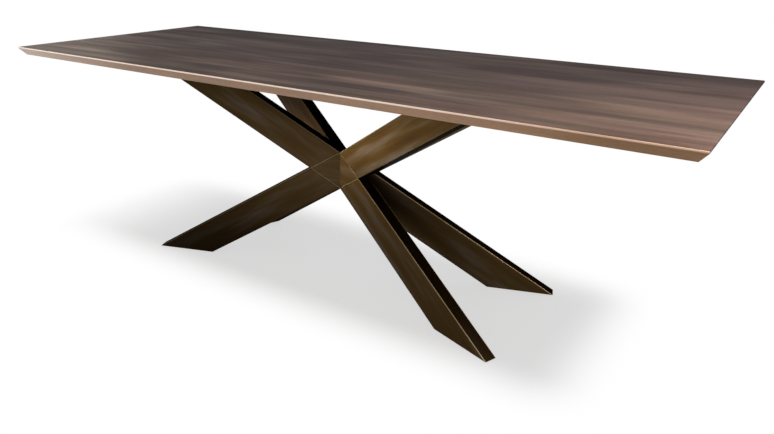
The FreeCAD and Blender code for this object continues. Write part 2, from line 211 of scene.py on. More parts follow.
def paperMaterial(values):
    # matt white paper: even white that keeps the soft shadow
    material, tree = newMaterial("matt white studio paper")
    rays = addNode(tree, "ShaderNodeLightPath").outputs
    mirrored = addNode(tree, "ShaderNodeMath", "MAXIMUM",
                       [rays["Is Glossy Ray"], rays["Is Transmission Ray"]])
    seen = addNode(tree, "ShaderNodeMath", "MAXIMUM", [rays["Is Camera Ray"], mirrored])
    lift = addNode(tree, "ShaderNodeMath", "MULTIPLY", [mirrored, values["mirrorLift"]])
    lift = addNode(tree, "ShaderNodeMath", "MULTIPLY_ADD",
                   [rays["Is Camera Ray"], values["floorLift"], lift])
    paper = addNode(tree, "ShaderNodeBsdfDiffuse", None, {"Color": toLinear(values["floorColour"])})
    glow = addNode(tree, "ShaderNodeEmission", None, {"Strength": lift})
    both = addNode(tree, "ShaderNodeAddShader", None, [paper, glow])
    # away from the table the paper turns to the white of the background
    place = addNode(tree, "ShaderNodeTexCoord").outputs["Object"]
    nearer = addNode(tree, "ShaderNodeMapRange", None, {
        "Value": mirrored, "To Min": 1.0, "To Max": 1 / values["mirrorReach"]})
    place = addNode(tree, "ShaderNodeVectorMath", "SCALE", {0: place, "Scale": nearer})
    parts = addNode(tree, "ShaderNodeSeparateXYZ", None, [place]).outputs
    shaded = 1.0
    for axis, start, end in values["shadeEdges"]:
        edge = addNode(tree, "ShaderNodeMapRange", {"interpolation_type": "SMOOTHSTEP"}, {
            "Value": parts[axis], "From Min": start, "From Max": end, "To Min": 1.0, "To Max": 0.0})
        shaded = addNode(tree, "ShaderNodeMath", "MULTIPLY", [edge, shaded])
    fade = addNode(tree, "ShaderNodeMath", "SUBTRACT", [1.0, shaded])
    fade = addNode(tree, "ShaderNodeMath", "MULTIPLY", [fade, seen])
    white = addNode(tree, "ShaderNodeEmission", None, {"Strength": 1.0})
    faded = addNode(tree, "ShaderNodeMixShader", None, [fade, both, white])
    # from below the paper is clear, so that the underside of the table can be looked at
    below = addNode(tree, "ShaderNodeNewGeometry").outputs["Backfacing"]
    clear = addNode(tree, "ShaderNodeBsdfTransparent")
    paper = addNode(tree, "ShaderNodeMixShader", None, [below, faded, clear])
    addNode(tree, "ShaderNodeOutputMaterial", None, {"Surface": paper})
    return material


def makeFloor(values):
    half, drop = values["floorHalf"], values["floorDrop"]
    mesh = bpy.data.meshes.new("floor")
    rim = ((-half, -half), (half, -half), (half, half), (-half, half))
    mesh.from_pydata([(x, y, -drop) for x, y in rim], [], [(0, 1, 2, 3)])
    mesh.materials.append(paperMaterial(values))
    floor = bpy.data.objects.new("floor", mesh)
    bpy.context.scene.collection.objects.link(floor)


def makeLamps(values):
    sun = bpy.data.lights.new("floorSun", "SUN")
    sun.energy = values["sun"]["strength"]
    sun.angle = math.radians(values["sun"]["angle"])
    light = bpy.data.objects.new("floorSun", sun)
    light.rotation_euler = Vector(values["sun"]["from"]).to_track_quat("Z", "Y").to_euler()
    bpy.context.scene.collection.objects.link(light)
    for name, lamp in values["lamps"].items():
        area = bpy.data.lights.new(name, "AREA")
        area.shape = "RECTANGLE"
        area.size, area.size_y = lamp["size"]
        area.energy = lamp["watts"]
        area.color = toLinear(lamp.get("colour", "#ffffff"))[:3]
        light = bpy.data.objects.new(name, area)
        light.location = lamp["place"]
        light.rotation_euler = (Vector(lamp["aim"]) - light.location).to_track_quat("-Z", "Y").to_euler()
        light.visible_camera = False
        light.visible_glossy = lamp.get("mirrored", True)
        bpy.context.scene.collection.objects.link(light)


makeWorld(studio)
makeFloor(studio)
makeLamps(studio)
bpy.context.scene.view_settings.view_transform = "Standard"
print("studio lit")


# top: flat-sawn walnut boards, oiled and lacquered satin; soft ragged streaks with the grain, fine pores,
# growth rings on the sawn ends, dark joint lines, board tones painted darker towards the back as painted
# shade, a bevel painted paler as painted light, and a painted highlight along the arris
walnut = {
    "undercut": 0.02, "arrisReach": 0.0016, "arrisDepth": 0.0052, "jointReach": 0.0007,
    # how long each pattern is with the grain, how wide across it, and its detail;
    # the fibres and pores are drawn coarser than real ones, so that they show
    "patterns": {
        "cloud": (1.15, 0.130, 2.0), "streak": (0.36, 0.080, 1.0), "flame": (0.24, 0.038, 1.0),
        "wander": (1.3, 0.25, 2.0),
    },
    "hue": (0.45, 0.120, 1.0), "fibre": (0.18, 0.0018, 2.0), "pore": (0.018, 0.0008, 1.0), "feather": 0.30,
    "weights": {"cloud": 0.74, "streak": 0.66, "flame": 0.40, "ring": 0.07, "fibre": 0.13},
    "calm": (0.40, 0.60, 0.5, 1.3),                # the figure is calm in some stretches and bold in others
    "boldEnds": (1.45, 0.80),                      # and bolder towards the left end than the right
    "ringSpacing": 0.011, "ringWander": 0.05,
    "ringTones": [(0.0, "#c8c8c8"), (0.55, "#9a9a9a"), (0.9, "#2a2a2a"), (1.0, "#c8c8c8")],
    "streaks": [(0.34, "#463d3a"), (0.48, "#544a46"), (0.62, "#655a54"), (0.76, "#766961")],
    "coolTint": (0.99, 0.88, 0.98), "warmTint": (1.10, 1.0, 0.93), "hueSwing": (0.26, 0.12, 0.28),
    # painted light: the bevel is painted paler than the face, and paler and greyer towards the left end,
    # where the light falls on it: its colours from left to right
    "bevel": [(0.02, "#bba99c"), (0.25, "#9a7f6c"), (0.62, "#a2846c"), (0.88, "#957253")],
    # a painted highlight along the arris, palest towards the left end: its colours from left to right
    "arris": [(0.02, "#fbeee2"), (0.30, "#ecd8ca"), (0.74, "#ecd6c6"), (0.90, "#c2a48f")],
    "bevelLightShare": 0.6, "arrisHighlightShare": 0.85,
    "fleck": (0.35, 0.65, 0.09), "poreRange": (0.58, 0.68), "poreDepth": 0.34,
    "endTones": (0.50, 0.85), "skin": 0.0002,      # the end grain soaks up the oil and shows its rings
    "roughness": 0.6, "roughSwing": 0.07, "specularLevel": 0.025,
    "relief": 0.0004, "reliefStrength": 0.12, "fibreRelief": 0.3,
    # for each board from the front: tone, its own and also falling towards the back as painted shade,
    # warmth, how dark the joint behind it is, how far along and aside its figure is taken from, and how
    # deep below its face the pith was
    "boards": [
        (1.04, 1.0, 0.20, 0.3, 0.012, 0.09), (0.96, 0.8, 0.15, 2.1, -0.030, 0.14),
        (1.04, 0.8, 0.10, 5.7, 0.022, 0.07), (0.76, 0.6, 0.18, 6.2, -0.015, 0.12),
        (0.81, 0.5, 0.12, 8.7, 0.035, 0.10), (0.73, 0.5, 0.55, 10.3, -0.025, 0.16),
        (0.60, 0.5, 0.15, 12.9, 0.018, 0.08), (0.47, 0.4, 0.0, 15.2, -0.010, 0.11),
    ],
}


def walnutMaterial(name, values, board, low, high):
    tone, warmth, jointShade, shift, aside, pithDepth = board
    halfLength, halfWidth, topHeight = cadBox[1]
    material, tree = newMaterial(name)
    place = addNode(tree, "ShaderNodeTexCoord").outputs["Object"]
    sawn = addNode(tree, "ShaderNodeMapping", None, {
        "Vector": place, "Location": (shift, -(low[1] + high[1]) / 2 - aside, pithDepth - topHeight)})
    # each fibre takes the figure from a little further along, so that the streaks end feathered
    fibre = stretchedNoise(tree, sawn, *values["fibre"])
    drift = addNode(tree, "ShaderNodeMath", "MULTIPLY_ADD",
                    [fibre, values["feather"], -values["feather"] / 2])
    drift = addNode(tree, "ShaderNodeCombineXYZ", None, {"X": drift})
    feathered = addNode(tree, "ShaderNodeVectorMath", "ADD", [sawn, drift])
    patterns = {key: stretchedNoise(tree, feathered, *sizes) for key, sizes in values["patterns"].items()}
    patterns["fibre"] = fibre
    for key in ("hue", "pore"):                    # these two aren't feathered
        patterns[key] = stretchedNoise(tree, sawn, *values[key])

    # growth rings: the way from the pith, with a slow wander that draws the arches on the flat faces
    section = addNode(tree, "ShaderNodeVectorMath", "MULTIPLY", [sawn, (0, 1, 1)])
    radius = addNode(tree, "ShaderNodeVectorMath", "LENGTH", [section])
    radius = addNode(tree, "ShaderNodeMath", "MULTIPLY_ADD",
                     [patterns["wander"], values["ringWander"], radius])
    rings = addNode(tree, "ShaderNodeMath", "DIVIDE", [radius, values["ringSpacing"]])
    season = addNode(tree, "ShaderNodeMath", "FRACT", [rings])
    patterns["ring"] = addNode(tree, "ShaderNodeValToRGB", {"stops": values["ringTones"]}, [season])

    # places: along the table from left to right, and how far out from its middle
    parts = addNode(tree, "ShaderNodeSeparateXYZ", None, [place]).outputs
    away = addNode(tree, "ShaderNodeVectorMath", "ABSOLUTE", [place])
    away = addNode(tree, "ShaderNodeSeparateXYZ", None, [away]).outputs
    along = addNode(tree, "ShaderNodeMapRange", None, {
        "Value": parts["X"], "From Min": -halfLength, "From Max": halfLength})

    # figure: the patterns added up, calmed or made bolder about a middle tone, then coloured
    middle = 0.5
    figure = middle * (1 - sum(values["weights"].values()))
    for key, weight in values["weights"].items():
        figure = addNode(tree, "ShaderNodeMath", "MULTIPLY_ADD", [patterns[key], weight, figure])
    lowest, highest, calmest, boldest = values["calm"]
    boldness = addNode(tree, "ShaderNodeMapRange", None, {
        "Value": patterns["wander"], "From Min": lowest, "From Max": highest,
        "To Min": calmest, "To Max": boldest})
    leftBold, rightBold = values["boldEnds"]
    ends = addNode(tree, "ShaderNodeMapRange", None, {
        "Value": along, "To Min": leftBold, "To Max": rightBold})
    boldness = addNode(tree, "ShaderNodeMath", "MULTIPLY", [boldness, ends])
    figure = addNode(tree, "ShaderNodeMath", "SUBTRACT", [figure, middle])
    figure = addNode(tree, "ShaderNodeMath", "MULTIPLY_ADD", [figure, boldness, middle])
    colour = addNode(tree, "ShaderNodeValToRGB", {"stops": values["streaks"]}, [figure])
    # the board's tone is partly painted shade, falling towards the back
    tints = zip(values["coolTint"], values["warmTint"])
    tint = tuple(tone * (cool + warmth * (warm - cool)) for cool, warm in tints)
    colour = addNode(tree, "ShaderNodeVectorMath", "MULTIPLY", [colour, tint])
    swing = values["hueSwing"]
    hue = addNode(tree, "ShaderNodeVectorMath", "MULTIPLY_ADD",
                  [patterns["hue"].outputs["Color"], swing, tuple(1 - part / 2 for part in swing)])
    colour = addNode(tree, "ShaderNodeVectorMath", "MULTIPLY", [colour, hue])

    # bevel: painted light, a paler colour along the table that is palest at the left end, flecked by the
    # figure
    onSide = addNode(tree, "ShaderNodeMath", "GREATER_THAN", [away["Y"], halfWidth - values["undercut"]])
    belowArris = addNode(tree, "ShaderNodeMath", "LESS_THAN",
                         [parts["Z"], topHeight - values["arrisReach"]])
    bevel = addNode(tree, "ShaderNodeMath", "MULTIPLY", [onSide, belowArris])
    mitre = addNode(tree, "ShaderNodeMath", "SUBTRACT", [away["X"], away["Y"]])
    beside = addNode(tree, "ShaderNodeMath", "LESS_THAN", [mitre, halfLength - halfWidth])
    bevel = addNode(tree, "ShaderNodeMath", "MULTIPLY", [bevel, beside])
    bevel = addNode(tree, "ShaderNodeMath", "MULTIPLY", [bevel, values["bevelLightShare"]])
    paintedBevelLight = addNode(tree, "ShaderNodeValToRGB", {"stops": values["bevel"]}, [along])
    lowest, highest, swing = values["fleck"]
    fleck = addNode(tree, "ShaderNodeMapRange", None, {
        "Value": figure, "From Min": lowest, "From Max": highest, "To Min": 1 - swing, "To Max": 1 + swing})
    paintedBevelLight = addNode(tree, "ShaderNodeVectorMath", "SCALE", {0: paintedBevelLight, "Scale": fleck})
    colour = addNode(tree, "ShaderNodeMix", {"data_type": "RGBA"}, {
        "Factor": bevel, "A": colour, "B": paintedBevelLight})

    # dark pores, the joint to the next board, and the end grain
    lowest, highest = values["poreRange"]
    pore = addNode(tree, "ShaderNodeMapRange", None, {
        "Value": patterns["pore"], "From Min": lowest, "From Max": highest,
        "To Min": 1.0, "To Max": 1 - values["poreDepth"]})
    joint = addNode(tree, "ShaderNodeMath", "GREATER_THAN", [parts["Y"], high[1] - values["jointReach"]])
    shade = addNode(tree, "ShaderNodeMath", "MULTIPLY_ADD", [joint, -jointShade, 1.0])
    shade = addNode(tree, "ShaderNodeMath", "MULTIPLY", [shade, pore])
    onEnd = addNode(tree, "ShaderNodeMath", "GREATER_THAN", [away["X"], halfLength - values["undercut"]])
    belowFace = addNode(tree, "ShaderNodeMath", "LESS_THAN", [parts["Z"], topHeight - values["skin"]])
    onEnd = addNode(tree, "ShaderNodeMath", "MULTIPLY", [onEnd, belowFace])
    onEnd = addNode(tree, "ShaderNodeMath", "GREATER_THAN", [onEnd, beside])
    darkest, palest = values["endTones"]
    soaked = addNode(tree, "ShaderNodeMapRange", None, {
        "Value": patterns["ring"], "To Min": darkest, "To Max": palest})
    soaked = addNode(tree, "ShaderNodeMix", {"data_type": "FLOAT"}, {
        "Factor": onEnd, "A": 1.0, "B": soaked})
    shade = addNode(tree, "ShaderNodeMath", "MULTIPLY", [shade, soaked])
    colour = addNode(tree, "ShaderNodeVectorMath", "SCALE", {0: colour, "Scale": shade})

    # arris: a painted highlight, a pale line along the front and the back
    line = addNode(tree, "ShaderNodeMath", "GREATER_THAN", [away["Y"], halfWidth - values["arrisReach"]])
    upper = addNode(tree, "ShaderNodeMapRange", {"interpolation_type": "SMOOTHSTEP"}, {
        "Value": parts["Z"], "From Min": topHeight - values["arrisDepth"],
        "From Max": topHeight - values["arrisDepth"] / 2, "To Max": values["arrisHighlightShare"]})
    line = addNode(tree, "ShaderNodeMath", "MULTIPLY", [line, upper])
    arrisHighlight = addNode(tree, "ShaderNodeValToRGB", {"stops": values["arris"]}, [along])
    colour = addNode(tree, "ShaderNodeMix", {"data_type": "RGBA"}, {
        "Factor": line, "A": colour, "B": arrisHighlight})

    # the grain is just felt through the lacquer, and the paler wood is a little smoother
    grain = addNode(tree, "ShaderNodeMath", "MULTIPLY_ADD",
                    [patterns["fibre"], values["fibreRelief"], pore])
    bump = addNode(tree, "ShaderNodeBump", None, {
        "Height": grain, "Strength": values["reliefStrength"], "Distance": values["relief"]})
    rough = addNode(tree, "ShaderNodeMapRange", None, {
        "Value": figure, "To Min": values["roughness"] + values["roughSwing"],
        "To Max": values["roughness"] - values["roughSwing"]})
    shader = addNode(tree, "ShaderNodeBsdfPrincipled", None, {
        "Base Color": colour, "Roughness": rough, "Normal": bump,
        "Specular IOR Level": values["specularLevel"]})
    addNode(tree, "ShaderNodeOutputMaterial", None, {"Surface": shader})
    return material


for number, board in enumerate(walnut["boards"], start=1):
    boardName = f"top_board_{number}"
    material = walnutMaterial(f"satin walnut board {number}", walnut, board, *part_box(boardName))
    giveMaterial(material, boardName)
print("walnut boards dressed:", len(walnut["boards"]))


# base: steel box sections with a dark bronze patina, brushed along their length and lacquered satin; cloudy
# tone, fine brush lines, tan on the upper edges and the hub's seams that is partly wear and partly a
# painted highlight, narrow faces darkened as painted shade, and painted shade and reflection towards the
# arms' ends
bronze = {
    "armWidth": 0.115, "armThickness": 0.042, "slope": 31.0, "frameAngle": 19.5, "hubHeight": 0.38,
    "patina": [(0.32, "#3a2b16"), (0.5, "#44341d"), (0.68, "#534940")],
    # tan on the upper edges and the hub's seams, partly wear and partly a painted highlight
    "wornAndHighlit": "#b39c78", "wornAndHighlitShare": 0.65,
    "patchy": (0.3, 0.6, 0.35),                    # grows between two tones of the cloud, from a share
    # length along the arm, width across it, and detail; brush lines are drawn coarser than real ones
    "cloud": (0.30, 0.045, 3.0), "brush": (0.22, 0.0022, 2.0), "brushShare": 0.25,
    "armShift": (1.7, 3.1, 0.0),                   # takes each arm's clouds from another place
    "edgeReach": 0.004, "seamReach": 0.0024,
    "roughness": 0.38, "roughSwing": 0.1, "metallic": 0.75, "specularLevel": 0.15, "edgeTint": "#2e271d",
    "relief": 0.0004, "reliefStrength": 0.08,
    "narrowShade": 0.45, "narrowMetallic": 1.0,     # painted shade: the narrow faces are darkened, and fully metallic
    # painted shade and reflection towards the arms' ends, darker on the left and paler on the right lower
    # arms: tone on the left, on the right, and where it is reached
    "ends": {"upper": (0.4, 0.85, 1.0), "lower": (0.29, 1.2, 0.75), "hub": (1.0, 1.0, 1.0),
             "plate": (1.0, 1.0, 1.0)},
}


def bronzeMaterial(name, values, piece):
    # piece is upper, lower, hub or plate: it says which way the brush lines run and where the edges are
    slope, plan = math.radians(values["slope"]), math.radians(values["frameAngle"])
    rise = values["armThickness"] / 2 * math.tan(plan) * math.tan(slope)
    up = {"upper": 1, "lower": -1}.get(piece, 0)
    tilt = slope * up
    material, tree = newMaterial(name)
    place = addNode(tree, "ShaderNodeTexCoord").outputs["Object"]
    centred = addNode(tree, "ShaderNodeVectorMath", "SUBTRACT",
                      [place, (0, 0, values["hubHeight"] - up * rise)])
    side, _, level = addNode(tree, "ShaderNodeSeparateXYZ", None, [centred]).outputs
    steepness = addNode(tree, "ShaderNodeMath", "ABSOLUTE", [level])

    # the four arms folded on one, then measured along it, across its broad face and through it
    folded = addNode(tree, "ShaderNodeVectorMath", "ABSOLUTE", [centred])
    folded = addNode(tree, "ShaderNodeVectorMath", "MULTIPLY", [folded, (1, 1, 0)])
    upright = addNode(tree, "ShaderNodeCombineXYZ", None, {"Z": level})
    folded = addNode(tree, "ShaderNodeVectorMath", "ADD", [folded, upright])
    axes = (
        (math.cos(tilt) * math.cos(plan), math.cos(tilt) * math.sin(plan), math.sin(tilt)),
        (-math.sin(tilt) * math.cos(plan), -math.sin(tilt) * math.sin(plan), math.cos(tilt)),
        (-math.sin(plan), math.cos(plan), 0),
    )
    along, across, through = (
        addNode(tree, "ShaderNodeVectorMath", "DOT_PRODUCT", [folded, axis]) for axis in axes)
    run = addNode(tree, "ShaderNodeCombineXYZ", None, [along, across, through])
    quarter = addNode(tree, "ShaderNodeVectorMath", "SIGN", [centred])
    shift = addNode(tree, "ShaderNodeVectorMath", "DOT_PRODUCT", [quarter, values["armShift"]])
    run = addNode(tree, "ShaderNodeVectorMath", "ADD", [run, shift])

    cloud = stretchedNoise(tree, run, *values["cloud"])
    brush = stretchedNoise(tree, run, *values["brush"])
    tone = addNode(tree, "ShaderNodeMath", "MULTIPLY", [cloud, 1 - values["brushShare"]])
    tone = addNode(tree, "ShaderNodeMath", "MULTIPLY_ADD", [brush, values["brushShare"], tone])
    colour = addNode(tree, "ShaderNodeValToRGB", {"stops": values["patina"]}, [tone])
    metallic, wornAndHighlit = values["metallic"], None
    if up:
        reach = values["edgeReach"]
        halfWidth, halfDepth = values["armWidth"] / 2, values["armThickness"] / 2
        acrossAway = addNode(tree, "ShaderNodeMath", "ABSOLUTE", [across])
        throughAway = addNode(tree, "ShaderNodeMath", "ABSOLUTE", [through])
        narrow, upperEdge, broadEdge = (
            addNode(tree, "ShaderNodeMapRange", {"interpolation_type": "SMOOTHSTEP"}, {
                "Value": distance, "From Min": edge - reach, "From Max": edge})
            for distance, edge in ((acrossAway, halfWidth), (across, halfWidth), (throughAway, halfDepth)))
        # painted shade: the narrow faces darkened
        darker = addNode(tree, "ShaderNodeMath", "MULTIPLY_ADD", [narrow, values["narrowShade"] - 1, 1.0])
        colour = addNode(tree, "ShaderNodeVectorMath", "SCALE", {0: colour, "Scale": darker})
        metallic = addNode(tree, "ShaderNodeMath", "MULTIPLY_ADD",
                           [narrow, values["narrowMetallic"] - metallic, metallic])
        # tan only on the upper edges, partly wear and partly a painted highlight
        wornAndHighlit = addNode(tree, "ShaderNodeMath", "MULTIPLY", [upperEdge, broadEdge])
    elif piece == "hub":
        # the diamond's rim, as far below its edge as the seam's chamfer is wide, is painted tan, partly as
        # wear and partly as a painted highlight
        rimHeight = values["armWidth"] / 2 / math.cos(slope) + rise
        rim = addNode(tree, "ShaderNodeMath", "MULTIPLY_ADD", [along, math.tan(slope), steepness])
        rimEdge = rimHeight - values["seamReach"] / math.cos(slope)
        wornAndHighlit = addNode(tree, "ShaderNodeMath", "GREATER_THAN", [rim, rimEdge])
    if wornAndHighlit:
        lowest, highest, least = values["patchy"]
        patchy = addNode(tree, "ShaderNodeMapRange", None, {
            "Value": cloud, "From Min": lowest, "From Max": highest,
            "To Min": least * values["wornAndHighlitShare"], "To Max": values["wornAndHighlitShare"]})
        wornAndHighlit = addNode(tree, "ShaderNodeMath", "MULTIPLY", [wornAndHighlit, patchy])
        colour = addNode(tree, "ShaderNodeMix", {"data_type": "RGBA"}, {
            "Factor": wornAndHighlit, "A": colour, "B": toLinear(values["wornAndHighlit"])})

    # painted shade and reflection: away from the hub each piece is scaled to its end tone, darker on the
    # left, paler on the right lower arms
    leftTone, rightTone, reached = values["ends"][piece]
    onRight = addNode(tree, "ShaderNodeMath", "GREATER_THAN", [side, 0.0])
    endTone = addNode(tree, "ShaderNodeMath", "MULTIPLY_ADD", [onRight, rightTone - leftTone, leftTone])
    endShadeAndReflection = addNode(tree, "ShaderNodeMapRange", None, {
        "Value": steepness, "From Max": values["hubHeight"] * reached, "To Min": 1.0, "To Max": endTone})
    colour = addNode(tree, "ShaderNodeVectorMath", "SCALE", {0: colour, "Scale": endShadeAndReflection})

    rough = addNode(tree, "ShaderNodeMapRange", None, {
        "Value": tone, "To Min": values["roughness"] + values["roughSwing"],
        "To Max": values["roughness"] - values["roughSwing"]})
    bump = addNode(tree, "ShaderNodeBump", None, {
        "Height": brush, "Strength": values["reliefStrength"], "Distance": values["relief"]})
    shader = addNode(tree, "ShaderNodeBsdfPrincipled", None, {
        "Base Color": colour, "Metallic": metallic, "Roughness": rough, "Normal": bump,
        "Specular IOR Level": values["specularLevel"], "Specular Tint": toLinear(values["edgeTint"])})
    addNode(tree, "ShaderNodeOutputMaterial", None, {"Surface": shader})
    return material


plateBronze = bronzeMaterial("dark bronze on plates", bronze, "plate")
giveMaterial(bronzeMaterial("rubbed dark bronze on upper arms", bronze, "upper"), "upper_arm")
giveMaterial(bronzeMaterial("rubbed dark bronze on lower arms", bronze, "lower"), "lower_arm")
giveMaterial(bronzeMaterial("rubbed dark bronze on hub", bronze, "hub"), "hub")
giveMaterial(plateBronze, "mounting_plate", "foot_plate")
print("bronze base dressed")

# fittings: grain is the size of the mottling, drawn coarse enough to show
fittings = {
    # dull silver with a faint crystal spangle
    "zinc-plated steel": {
        "mottle": [(0.35, "#8f9397"), (0.65, "#b9bcbf")], "metallic": 1.0, "roughness": 0.34,
        "grain": (0.0016, 0.0016, 0.0016), "relief": 0.00002},
    # warm yellow with fine turning rings
    "turned brass": {
        "mottle": [(0.35, "#a07f3f"), (0.65, "#c6a560")], "metallic": 1.0, "roughness": 0.3,
        "grain": (0.004, 0.004, 0.0004), "relief": 0.00002},
    # flat black with an orange-peel skin
    "black powder-coated steel": {
        "mottle": [(0.35, "#141414"), (0.65, "#222222")], "metallic": 0.0, "roughness": 0.58,
        "grain": (0.0018, 0.0018, 0.0018), "relief": 0.00008},
    # black with a dull sheen and a fine moulded skin
    "moulded black nylon": {
        "mottle": [(0.35, "#161617"), (0.65, "#242425")], "metallic": 0.0, "roughness": 0.5,
        "grain": (0.0012, 0.0012, 0.0012), "relief": 0.00004},
    # pale tan wood with a short grain
    "pressed beech": {
        "mottle": [(0.35, "#a97f58"), (0.65, "#cfae88")], "metallic": 0.0, "roughness": 0.7,
        "grain": (0.012, 0.0016, 0.0016), "relief": 0.00005},
}
fittingSkin = {"detail": 2.0, "roughSwing": 0.08, "reliefStrength": 0.4}


def fittingMaterial(name, values, skin):
    material, tree = newMaterial(name)
    place = addNode(tree, "ShaderNodeTexCoord").outputs["Object"]
    scaled = addNode(tree, "ShaderNodeVectorMath", "DIVIDE", [place, values["grain"]])
    mottle = addNode(tree, "ShaderNodeTexNoise", None, {
        "Vector": scaled, "Scale": 1.0, "Detail": skin["detail"]})
    colour = addNode(tree, "ShaderNodeValToRGB", {"stops": values["mottle"]}, [mottle])
    rough = addNode(tree, "ShaderNodeMapRange", None, {
        "Value": mottle, "To Min": values["roughness"] + skin["roughSwing"],
        "To Max": values["roughness"] - skin["roughSwing"]})
    bump = addNode(tree, "ShaderNodeBump", None, {
        "Height": mottle, "Strength": skin["reliefStrength"], "Distance": values["relief"]})
    shader = addNode(tree, "ShaderNodeBsdfPrincipled", None, {
        "Base Color": colour, "Metallic": values["metallic"], "Roughness": rough, "Normal": bump})
    addNode(tree, "ShaderNodeOutputMaterial", None, {"Surface": shader})
    return material


fittingMaterials = {
    name: fittingMaterial(name, values, fittingSkin) for name, values in fittings.items()}
zinc = fittingMaterials["zinc-plated steel"]
giveMaterial(zinc, "glide_stem", "foot_nuts", "channel_screws", "plate_screws", "plate_washers")
giveMaterial(fittingMaterials["black powder-coated steel"], "stiffener_channel")
giveMaterial(fittingMaterials["moulded black nylon"], "glide_pad")
giveMaterial(fittingMaterials["turned brass"], "threaded_inserts")
giveMaterial(fittingMaterials["pressed beech"], "board_biscuits")
print("fittings dressed")


turnedSharp = 32.0                                 # degrees between faces, where an edge turns sharp


def turnedMesh(name, rows, steps, ring=False):
    # a lathe: each row is a radius, a height and a number of sides, none for a round row
    mesh = bpy.data.meshes.new(name)
    shape = bmesh.new()
    circles = []
    for radius, height, sides in rows:
        circle = []
        for step in range(steps):
            angle = 2 * math.pi * step / steps
            reach = radius
            if sides:
                part = 2 * math.pi / sides
                reach = radius / math.cos((angle + part / 2) % part - part / 2)
            circle.append(shape.verts.new((reach * math.cos(angle), reach * math.sin(angle), height)))
        circles.append(circle)
    pairs = list(zip(circles, circles[1:]))
    if ring:
        pairs.append((circles[-1], circles[0]))
    else:
        shape.faces.new(circles[0])
        shape.faces.new(circles[-1])
    for lower, upper in pairs:
        for step in range(steps):
            after = (step + 1) % steps
            shape.faces.new((lower[step], lower[after], upper[after], upper[step]))
    bmesh.ops.recalc_face_normals(shape, faces=shape.faces)
    shape.to_mesh(mesh)
    shape.free()
    mesh.shade_smooth()
    mesh.set_sharp_from_angle(angle=math.radians(turnedSharp))
    return mesh


def newTree(name, sizes):
    # a geometry tree with one named input for each size, an object and a material
    tree = bpy.data.node_groups.new(name, "GeometryNodeTree")
    tree.interface.new_socket("Geometry", in_out="INPUT", socket_type="NodeSocketGeometry")
    for size in sizes:
        tree.interface.new_socket(size, in_out="INPUT", socket_type="NodeSocketFloat")
    tree.interface.new_socket("Part", in_out="INPUT", socket_type="NodeSocketObject")
    tree.interface.new_socket("Material", in_out="INPUT", socket_type="NodeSocketMaterial")
    tree.interface.new_socket("Geometry", in_out="OUTPUT", socket_type="NodeSocketGeometry")
    return tree, addNode(tree, "NodeGroupInput").outputs


def endTree(tree, given, geometry):
    real = addNode(tree, "GeometryNodeRealizeInstances", None, [geometry])
    dressed = addNode(tree, "GeometryNodeSetMaterial", None, {
        "Geometry": real, "Material": given["Material"]})
    addNode(tree, "NodeGroupOutput", None, [dressed])


def makePiece(name, mesh, tree, inputs, body, slotName, *replaced):
    # runs the tree on the mesh, keeps the result as one plain mesh, and lets it ride on its body
    holder = bpy.data.objects.new(name + "Holder", mesh)
    bpy.context.scene.collection.objects.link(holder)
    modifier = holder.modifiers.new("nodes", "NODES")
    modifier.node_group = tree
    for socket in tree.interface.items_tree:
        if socket.in_out == "INPUT" and socket.name in inputs:
            modifier[socket.identifier] = inputs[socket.name]
    holder.update_tag()
    evaluated = holder.evaluated_get(bpy.context.evaluated_depsgraph_get())
    plain = bpy.data.meshes.new_from_object(evaluated)
    plain.name = name
    bpy.data.objects.remove(holder)
    piece = bpy.data.objects.new(name, plain)
    bpy.context.scene.collection.objects.link(piece)
    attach(piece, body)
    if replaced:
        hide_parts(*replaced)


def pointsMesh(name, points, edges=()):
    mesh = bpy.data.meshes.new(name)
    mesh.from_pydata(points, edges, [])
    return mesh


# where things sit under the top, in the run of one arm: along it, across it and up
underside = {"holeAlong": 0.180, "holeAcross": 0.084, "washer": 0.0016, "plate": 0.006}
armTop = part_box("upper_arm_front_left")[1][2]


def armPoint(corner, along, across, height):
    # turns a place in an arm's own run to that corner of the table
    sideX = -1 if "left" in corner else 1
    sideY = -1 if "front" in corner else 1
    plan = math.radians(bronze["frameAngle"])
    run = math.atan2(sideY * math.sin(plan), sideX * math.cos(plan))
    return (along * math.cos(run) - across * math.sin(run),
            along * math.sin(run) + across * math.cos(run), height)


def plateReach():
    # how far out the middle of an arm's level top is
    slope, plan = math.radians(bronze["slope"]), math.radians(bronze["frameAngle"])
    rise = bronze["armThickness"] / 2 * math.tan(plan) * math.tan(slope)
    return (armTop - bronze["hubHeight"] + rise) / math.tan(slope)


# screws: one turned screw or washer, placed at every hole with a turn of its own
plateScrew = {
    "headRadius": 0.007, "head": 0.0044, "flatRadius": 0.0036, "domeRows": 6, "domeBend": 0.8,
    "socketAcross": 0.005, "socketDepth": 0.0025, "socketSides": 6, "lead": 0.0003,
    "radius": 0.00395, "grip": 0.015, "point": 0.001, "pointShare": 0.8, "steps": 36,
}
plateWasher = {"radius": 0.010, "bore": 0.0045, "edge": 0.0003, "steps": 40}
channelScrew = {
    "headRadius": 0.0045, "head": 0.0028,
    "pan": ((0.66, 1.0), (0.86, 0.88), (0.97, 0.62), (1.0, 0.35), (1.0, 0.0)),
    "recessAcross": 0.0024, "recessDepth": 0.0015, "recessTaper": 0.8, "recessSides": 4,
    "radius": 0.00225, "length": 0.0155, "point": 0.004, "pointShare": 0.1, "seat": 0.7395, "steps": 32,
    "alongTable": (-0.9, 0.0, 0.9), "acrossTable": (-0.31, -0.155, 0.0, 0.155, 0.31),
}
screwPlacing = {"size": 1.0, "turn": 2 * math.pi, "seed": 11}


